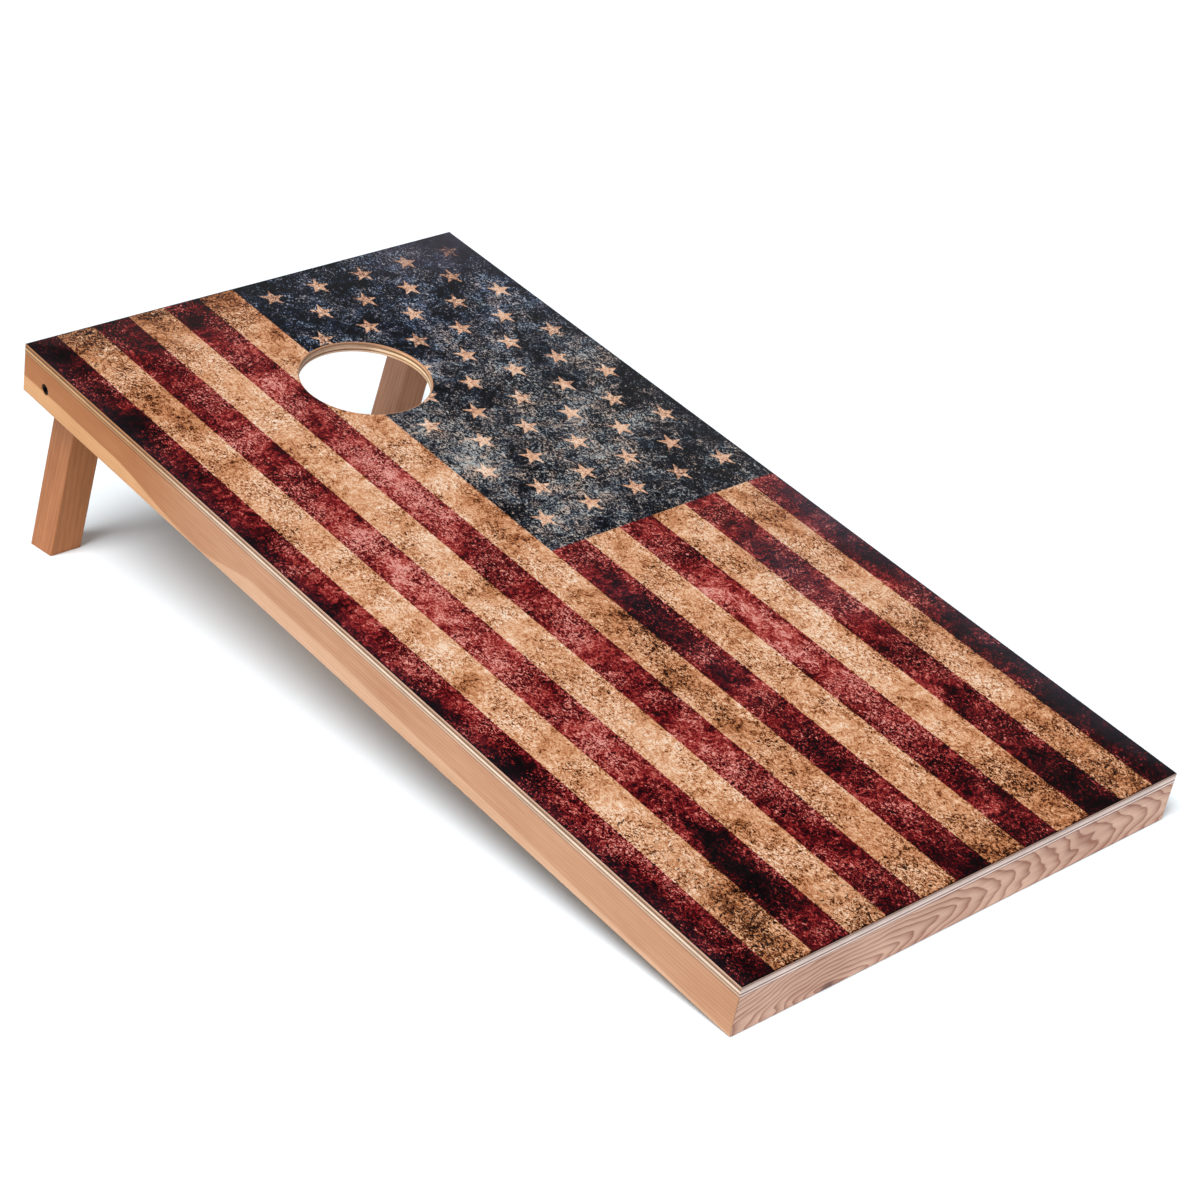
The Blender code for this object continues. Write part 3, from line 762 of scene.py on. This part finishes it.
def wood_grain(name, place, count, early, late, seed, lines, streaks, ring_swing=2.4):
    """Wood whose grain runs along the local y axis, with count's growth rings.

    Gives its nodes, its colour and the outputs that other parts of a material use.
    """
    nodes = Nodes(name)
    local = place(nodes)
    x, y, z = nodes.split(local)
    shifted = nodes.vector("ADD", local, [seed * share for share in SEED_SHIFT])
    slow = nodes.noise(nodes.scaled(shifted, SLOW_PER_METRE), *SLOW)
    fibre = nodes.noise(nodes.scaled(shifted, FIBRE_PER_METRE), *FIBRE)
    streak = nodes.noise(nodes.scaled(shifted, STREAK_PER_METRE), *STREAK)
    blotch = nodes.noise(nodes.scaled(shifted, BLOTCH_PER_METRE), *BLOTCH)
    ring = nodes.maths("FRACT", nodes.total(count(nodes, x, y, z), nodes.swing(slow, ring_swing)))
    late_share = nodes.product(nodes.maths("POWER", ring, RING_SHARPNESS), nodes.rescale(ring, 1.0, RING_END))
    darkness = nodes.maths(
        "ADD",
        nodes.total(nodes.product(late_share, lines), nodes.swing(streak, streaks), BASE_DARKNESS),
        nodes.total(nodes.swing(fibre, FIBRE_DARKNESS), nodes.swing(blotch, BLOTCH_DARKNESS)),
        clamp=True,
    )
    colour = nodes.mix(darkness, linear(*early), linear(*late))
    parts = SimpleNamespace(y=y, z=z, slow=slow, fibre=fibre, late=late_share, dark=darkness)
    return nodes, colour, parts


def wood_finish(nodes, colour, parts, joint_shadow=0.0):
    """A painted shadow in the joint with the deck darkens a rail's upper edge by that share."""
    # Painted shadow along the rail's upper edge, in the joint under the deck
    painted_joint_shadow = nodes.rescale(parts.z, RAIL_TOP - 0.0012, RAIL_TOP - 0.0004, 1.0, 1.0 - joint_shadow)
    pores = nodes.rescale(parts.fibre, 0.22, 0.36, 0.88 * WOOD_SHARE, WOOD_SHARE)
    shade = nodes.product(pores, painted_joint_shadow)
    colour = nodes.times(colour, nodes.join(shade, shade, shade))
    roughness = nodes.total(
        WOOD_ROUGHNESS,
        nodes.swing(parts.fibre, 0.2),
        nodes.product(parts.late, -0.08),
    )
    bumps = [(parts.fibre, FIBRE_HEIGHT), (parts.late, RING_HEIGHT)]
    return nodes.finish(colour, roughness, bumps, specular=WOOD_SPECULAR)


def wood_material(name, place, count, early, late, seed, lines=0.8, streaks=0.8):
    nodes, colour, parts = wood_grain(name, place, count, early, late, seed, lines, streaks)
    return wood_finish(nodes, colour, parts)


def sapwood_height(nodes, parts):
    """The height of the sapwood's upper limit, which dips near the rear."""
    offset = nodes.total(parts.y, SAP_DIP_FROM_REAR - BOARD_LENGTH)
    behind = nodes.product(offset, 1 / SAP_DIP_BEHIND)
    ahead = nodes.product(offset, -1 / SAP_DIP_AHEAD)
    dip = nodes.rescale(nodes.maths("MAXIMUM", behind, ahead), 1.0, 0.05, 0.0, SAP_DIP)
    top = nodes.rescale(parts.y, *SAP_PLACES, *SAP_HEIGHTS, smooth=False)
    return nodes.total(top, dip, nodes.swing(parts.slow, SAP_RAGGED))


def side_rail_material(name, seed):
    """Heartwood, with paler sapwood along the lower edge."""
    rings = straight(pitch=0.0045, slope=0.004 * seed, skew=1.4)
    nodes, heart, parts = wood_grain(name, in_board, rings, RAIL_EARLY, RAIL_LATE, seed, 0.30, 0.7)
    sap = nodes.mix(parts.dark, linear(*SAP_EARLY), linear(*SAP_LATE))
    above = nodes.maths("SUBTRACT", parts.z, sapwood_height(nodes, parts))
    is_sap = nodes.rescale(above, SAP_EDGE, -SAP_EDGE)
    heart = nodes.times(heart, warmth(nodes, parts.y, REAR_WARMTH))
    sap = nodes.times(sap, warmth(nodes, parts.y, SAP_REAR_WARMTH))
    return wood_finish(nodes, nodes.mix(is_sap, heart, sap), parts, SIDE_JOINT_SHADOW)


def end_rail_material(name, knots, seed):
    """Flat-sawn wood. The first knot is dark."""
    rings = arched(knots)
    nodes, colour, parts = wood_grain(
        name, across_board, rings, END_EARLY, END_LATE, seed, lines=0.95, streaks=0.6, ring_swing=1.2
    )
    knot_y, knot_z = knots[0][:2]
    up = nodes.product(nodes.total(parts.z, -knot_z), KNOT_FLATNESS)
    offset = nodes.join(nodes.total(parts.y, -knot_y), up, 0.0)
    reach = nodes.total(nodes.vector("LENGTH", offset, output=1), nodes.swing(parts.slow, 0.012))
    in_knot = nodes.rescale(reach, KNOT_RADIUS, KNOT_CORE, 0.0, KNOT_STRENGTH)
    return wood_finish(nodes, nodes.mix(in_knot, colour, linear(*KNOT_COLOUR)), parts, END_JOINT_SHADOW)


def dress(node, material):
    """Gives a CAD node its looks."""
    piece = frame["nodes"][node]
    piece.data.materials.clear()
    piece.data.materials.append(material)


def build_woods():
    for seed, side in enumerate(("left", "right"), start=1):
        name = f"{side}_rail"
        dress(name, side_rail_material(name, seed))
        name = f"{side}_leg"
        rings = straight(pitch=0.0060, slope=0.02 * seed, skew=0.8)
        dress(name, wood_material(name, along_leg, rings, *LEG_COLOURS[side], seed + 2, 0.35, 0.6))
        name = f"{side}_pivot_block"
        rings = straight(pitch=0.0040, slope=0.05, skew=0.5)
        dress(name, wood_material(name, in_board, rings, BLOCK_EARLY, BLOCK_LATE, seed + 4))
        name = f"{side}_corner_block"
        rings = straight(pitch=0.0035, slope=0.03, skew=0.9)
        dress(name, wood_material(name, up_board, rings, BLOCK_EARLY, BLOCK_LATE, seed + 6))
    for seed, (name, knots) in enumerate(KNOTS.items(), start=9):
        dress(name, end_rail_material(name, knots, seed))


# Hardware


def black_steel():
    """Black oxide, rubbed where it is handled."""
    nodes = Nodes("black_steel")
    place = nodes.place()
    worn = nodes.noise(place, 300.0, 4.0, 0.7)
    grain = nodes.noise(place, 2500.0, 2.0, 0.6)
    dark, rubbed = BLACK_STEEL
    colour = nodes.mix(nodes.rescale(worn, 0.45, 0.75), linear(*dark), linear(*rubbed))
    roughness = nodes.total(0.55, nodes.swing(worn, 0.3), nodes.swing(grain, 0.2))
    return nodes.finish(colour, roughness, [(grain, 0.00003), (worn, 0.00008)], specular=0.05)


def zinc_steel():
    """Bright zinc plate with its bluish and yellowish clouds."""
    nodes = Nodes("zinc_steel")
    place = nodes.place()
    clouds = nodes.noise(place, 160.0, 3.0, 0.6)
    grain = nodes.noise(place, 1800.0, 2.0, 0.6)
    bluish, yellowish = ZINC
    colour = nodes.mix(nodes.rescale(clouds, 0.35, 0.65), linear(*bluish), linear(*yellowish))
    roughness = nodes.total(0.32, nodes.swing(clouds, 0.25), nodes.swing(grain, 0.25))
    return nodes.finish(colour, roughness, [(grain, 0.00004), (clouds, 0.0001)], metallic=1.0)


def build_hardware():
    black, zinc = black_steel(), zinc_steel()
    for node in frame["nodes"]:
        if node.endswith("pivot_bolt"):
            dress(node, black)
        elif "washer" in node or "nut" in node or "screw" in node:
            dress(node, zinc)


# Deck


def new_piece(name, mesh, body):
    piece = link(name, mesh)
    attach(piece, body)
    return piece


def direction(angle):
    return Vector((math.cos(angle), math.sin(angle)))


def ray_to_edge(angle):
    """Where a ray from the hole's centre leaves the deck."""
    ray = direction(angle)
    reaches = []
    if abs(ray.x) > 1e-9:
        side = HALF_WIDTH if ray.x > 0 else -HALF_WIDTH
        reaches.append((side - HOLE_CENTRE.x) / ray.x)
    if abs(ray.y) > 1e-9:
        end = BOARD_LENGTH if ray.y > 0 else 0.0
        reaches.append((end - HOLE_CENTRE.y) / ray.y)
    return HOLE_CENTRE + ray * min(reaches)


def plate_angles():
    """Even angles round the hole, and one to each corner of the deck."""
    angles = [2 * math.pi * i / HOLE_SEGMENTS - math.pi for i in range(HOLE_SEGMENTS)]
    for x in (-HALF_WIDTH, HALF_WIDTH):
        for y in (0, BOARD_LENGTH):
            angles.append(math.atan2(y - HOLE_CENTRE.y, x - HOLE_CENTRE.x))
    return sorted(angles)


def edge_point(angle, inset):
    point = ray_to_edge(angle)
    x = max(-HALF_WIDTH + inset, min(HALF_WIDTH - inset, point.x))
    y = max(inset, min(BOARD_LENGTH - inset, point.y))
    return x, y


def rim_point(angle, radius):
    point = HOLE_CENTRE + direction(angle) * radius
    return point.x, point.y


def plate_mesh(name, outer, inner):
    """A plate with a hole. Outer sections are (inset from the deck's edge, height) and inner ones
    (radius, height).
    """
    shape = bmesh.new()
    angles = plate_angles()
    loops = []
    for place, sections in ((edge_point, outer), (rim_point, inner)):
        for size, height in sections:
            loops.append([shape.verts.new((*place(angle, size), height)) for angle in angles])
    count = len(angles)
    for first, second in zip(loops, loops[1:] + loops[:1]):
        for i in range(count):
            j = (i + 1) % count
            shape.faces.new((first[i], first[j], second[j], second[i]))
    bmesh.ops.recalc_face_normals(shape, faces=shape.faces)
    mesh = bpy.data.meshes.new(name)
    shape.to_mesh(mesh)
    shape.free()
    mesh.transform(BOARD)
    mesh.shade_smooth()
    mesh.set_sharp_from_angle(angle=SHARP_ANGLE)
    return mesh


def ply_noise(nodes, place, settings, across, along, lengthwise):
    """A noise drawn out along the ply's grain."""
    scale = (across, along, across) if lengthwise else (along, across, across)
    return nodes.noise(nodes.scaled(place, scale), *settings)


def ply_shade(nodes, place, fibre, pores, lengthwise, is_end, is_face, glue):
    """How light the ply is: its blotches and glue show at the edges, and the veneer's figure on its faces."""
    blotch = nodes.noise(place, *PLY_BLOTCH)
    figure = ply_noise(nodes, place, PLY_FIGURE, PLY_FIGURE_ACROSS, PLY_FIGURE_ALONG, lengthwise)
    shade = nodes.total(
        1.0,
        nodes.swing(fibre, 0.6),
        nodes.product(nodes.swing(blotch, 0.7), nodes.rescale(is_face, 0.0, 1.0, 1.0, 0.3)),
        nodes.product(nodes.swing(figure, 0.9), is_face),
        nodes.product(nodes.swing(pores, 1.0), nodes.rescale(is_end, 0.0, 1.0, 0.15, 0.7)),
    )
    glue = nodes.product(glue, nodes.maths("SUBTRACT", 1.0, is_face))
    return nodes.product(shade, nodes.maths("SUBTRACT", 1.0, glue), WOOD_SHARE)


def ply_tint(nodes, x, y, faces_side, is_face):
    """The hole's wall gets painted shade where it faces along the board and painted light where it faces the
    sides, and the underside is tinted; the outer edges are not, and are sun-aged at the rear.
    """
    # Painted shade on the hole's wall where it faces along the board, painted light where it faces the sides
    hole_painted_shade_and_light = nodes.mix(nodes.rescale(faces_side, 0.60, 0.82), *HOLE_PAINTED_SHADE_AND_LIGHT)
    inside = nodes.mix(is_face, hole_painted_shade_and_light, UNDERSIDE_TINT)
    near_front = nodes.rescale(y, 0.02, 0.0, 0.0, HALF_WIDTH)
    at_edge = nodes.maths("MAXIMUM", nodes.maths("ABSOLUTE", x), near_front)
    inner, outer = OUTER_BAND
    at_side = nodes.rescale(at_edge, HALF_WIDTH - inner, HALF_WIDTH - outer)
    return nodes.mix(at_side, inside, warmth(nodes, y, REAR_WARMTH))


def ply_material(name, bottom, lengthwise, side_colour, end_colour):
    nodes = Nodes(name)
    place = in_board(nodes)
    x, y, z = nodes.split(place)
    facing = [nodes.maths("ABSOLUTE", part) for part in nodes.split(nodes.coordinates.outputs["Normal"])]
    is_end = nodes.rescale(facing[1] if lengthwise else facing[0], 0.3, 0.9)
    is_face = nodes.rescale(facing[2], 0.7, 0.9)
    fibre = ply_noise(nodes, place, PLY_FIBRE, PLY_FIBRE_ACROSS, PLY_FIBRE_ALONG, lengthwise)
    pores = nodes.noise(place, *PLY_PORES)
    glue = nodes.rescale(z, bottom + GLUE_TOP, bottom + GLUE_BOTTOM, 0.0, GLUE_DARKNESS)
    shade = ply_shade(nodes, place, fibre, pores, lengthwise, is_end, is_face, glue)
    base = nodes.mix(is_end, linear(*side_colour), linear(*end_colour))
    colour = nodes.times(base, nodes.join(shade, shade, shade))
    colour = nodes.times(colour, ply_tint(nodes, x, y, facing[0], is_face))
    roughness = nodes.rescale(fibre, 0.3, 0.7, *PLY_ROUGHNESS)
    return nodes.finish(colour, roughness, [(fibre, 0.0001), (pores, 0.00004)], specular=PLY_SPECULAR)


def eased_edge(top, low):
    """Outer sections of the deck's eased upper edge, from height top down to height low."""
    sections = []
    for step in range(EASE_STEPS + 1):
        angle = math.pi / 2 * step / EASE_STEPS
        height = BOARD_HEIGHT - DECK_EASE * (1 - math.cos(angle))
        if low < height <= top + 1e-6:
            sections.append((DECK_EASE * (1 - math.sin(angle)), height))
    return sections


def rounded_rim(top):
    """Inner sections of the hole's rounded upper edge, from the bottom up."""
    sections = []
    for step in range(ROUND_OVER_STEPS + 1):
        angle = math.pi / 2 * step / ROUND_OVER_STEPS
        radius = HOLE_RADIUS + HOLE_ROUND_OVER * (1 - math.cos(angle))
        sections.append((radius, top - HOLE_ROUND_OVER * (1 - math.sin(angle))))
    return sections


def build_film(skirt, low):
    """The printed film, down to height low and in from the deck's edge by skirt there."""
    rim = HOLE_RADIUS + HOLE_ROUND_OVER
    outer = eased_edge(BOARD_HEIGHT, low) + [(skirt, low)]
    film = plate_mesh("deck_print", outer, [(rim, low), (rim, BOARD_HEIGHT)])
    film.materials.append(print_material())
    piece = new_piece("deck_print", film, "frame")
    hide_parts("deck")


def build_deck():
    """The printed film on its five plies."""
    top = BOARD_HEIGHT - PRINT_THICKNESS
    film_low = top + PLY_GAP
    skirt = DECK_EASE * (1 - math.sin(math.acos(1 - (BOARD_HEIGHT - film_low) / DECK_EASE)))
    build_film(skirt, film_low)
    for number, (thickness, lengthwise, side_colour, end_colour) in enumerate(PLIES, start=1):
        bottom = top - thickness
        if number == 1:
            outer = [(skirt, top)] + eased_edge(top, bottom) + [(0, bottom)]
            inner = [(HOLE_RADIUS, bottom)] + rounded_rim(top)
        else:
            outer = [(0, top - PLY_GAP), (0, bottom)]
            inner = [(HOLE_RADIUS, bottom), (HOLE_RADIUS, top - PLY_GAP)]
        name = f"deck_ply_{number}"
        mesh = plate_mesh(name, outer, inner)
        mesh.materials.append(ply_material(name, bottom, lengthwise, side_colour, end_colour))
        new_piece(name, mesh, "frame")
        top = bottom


# Studio


def build_floor():
    near, far = -FLOOR_REACH, FLOOR_REACH
    mesh = bpy.data.meshes.new("studio_floor")
    mesh.from_pydata([(near, near, 0), (far, near, 0), (far, far, 0), (near, far, 0)], [], [(0, 1, 2, 3)])
    floor = link("studio_floor", mesh)
    floor.location.z = -FLOOR_DROP
    nodes = Nodes("studio_floor")
    mesh.materials.append(nodes.finish(FLOOR_COLOUR, FLOOR_ROUGHNESS, specular=0.0))


def build_surround():
    """A world that is bright near the horizon and dim overhead."""
    world = bpy.data.worlds.new("studio")
    world.use_nodes = True
    bpy.context.scene.world = world
    tree = world.node_tree
    coordinates = tree.nodes.new("ShaderNodeTexCoord")
    split = tree.nodes.new("ShaderNodeSeparateXYZ")
    ramp = tree.nodes.new("ShaderNodeValToRGB")
    tree.links.new(coordinates.outputs["Generated"], split.inputs[0])
    tree.links.new(split.outputs[2], ramp.inputs[0])
    for element, (height, brightness) in zip(ramp.color_ramp.elements, SURROUND):
        element.position = height
        element.color = (brightness, brightness, brightness, 1.0)
    background = tree.nodes["Background"]
    tree.links.new(ramp.outputs[0], background.inputs[0])
    background.inputs[1].default_value = SURROUND_POWER


def build_key_light():
    """A large soft light from the front left."""
    light = bpy.data.lights.new("key", "SUN")
    light.energy = KEY_POWER
    light.angle = KEY_SPREAD
    key = link("key", light)
    key.rotation_euler = (-KEY_FROM).to_track_quat("-Z", "Y").to_euler()


def build_camera():
    data = bpy.data.cameras.new("camera")
    data.lens = CAMERA_LENS
    data.sensor_width = SENSOR
    camera = link("camera", data)
    level = Matrix.Rotation(-CAMERA_HEADING, 4, "Z") @ Matrix.Rotation(math.pi / 2 + CAMERA_PITCH, 4, "X")
    camera.matrix_world = Matrix.Translation(CAMERA_PLACE) @ level @ Matrix.Rotation(CAMERA_ROLL, 4, "Z")
    bpy.context.scene.camera = camera


build_deck()
build_woods()
build_hardware()
build_floor()
build_key_light()
build_surround()
build_camera()
bpy.context.scene.view_settings.view_transform = "Standard"
